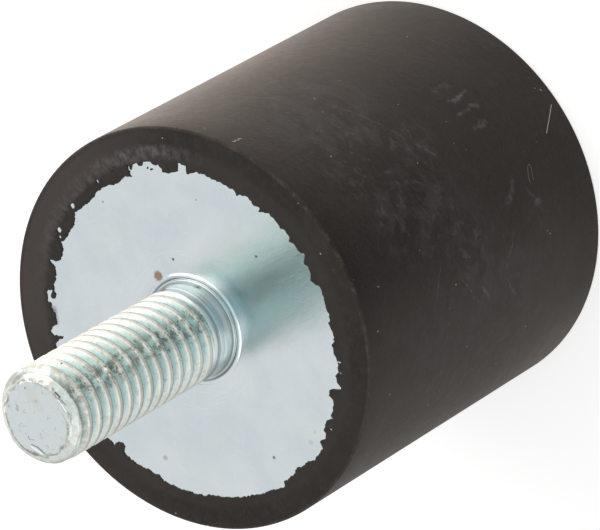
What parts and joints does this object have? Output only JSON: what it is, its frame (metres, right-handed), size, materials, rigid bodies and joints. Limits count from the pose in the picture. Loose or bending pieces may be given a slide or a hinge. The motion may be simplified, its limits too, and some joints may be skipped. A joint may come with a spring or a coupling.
{
  "type": "bobbin vibration mount",
  "caption": "Cylindrical rubber anti-vibration mount with a threaded stud on one bonded steel end plate and a tapped bush in the other.",
  "frame": {"origin": "middle of the tapped end's rubber rim, which the mount stands on", "axes": "+Z along the mount's axis, from the tapped end towards the stud; X and Y are equivalent apart from the flash's ragged edge"},
  "size_m": [0.025, 0.025, 0.0408],
  "materials": {
    "rubber": "matt black natural rubber with a faint bloom",
    "zinc_plate": "bright zinc plated, smooth with a soft reflection",
    "zinc_stud": "bright zinc plated, rolled thread with grime in its roots"
  },
  "bodies": {
    "root": {"rubber_body": "rubber", "stud_plate": "zinc_plate", "stud": "zinc_stud", "bush_plate": "zinc_plate", "threaded_bush": "zinc_stud"}
  },
  "joints": []
}
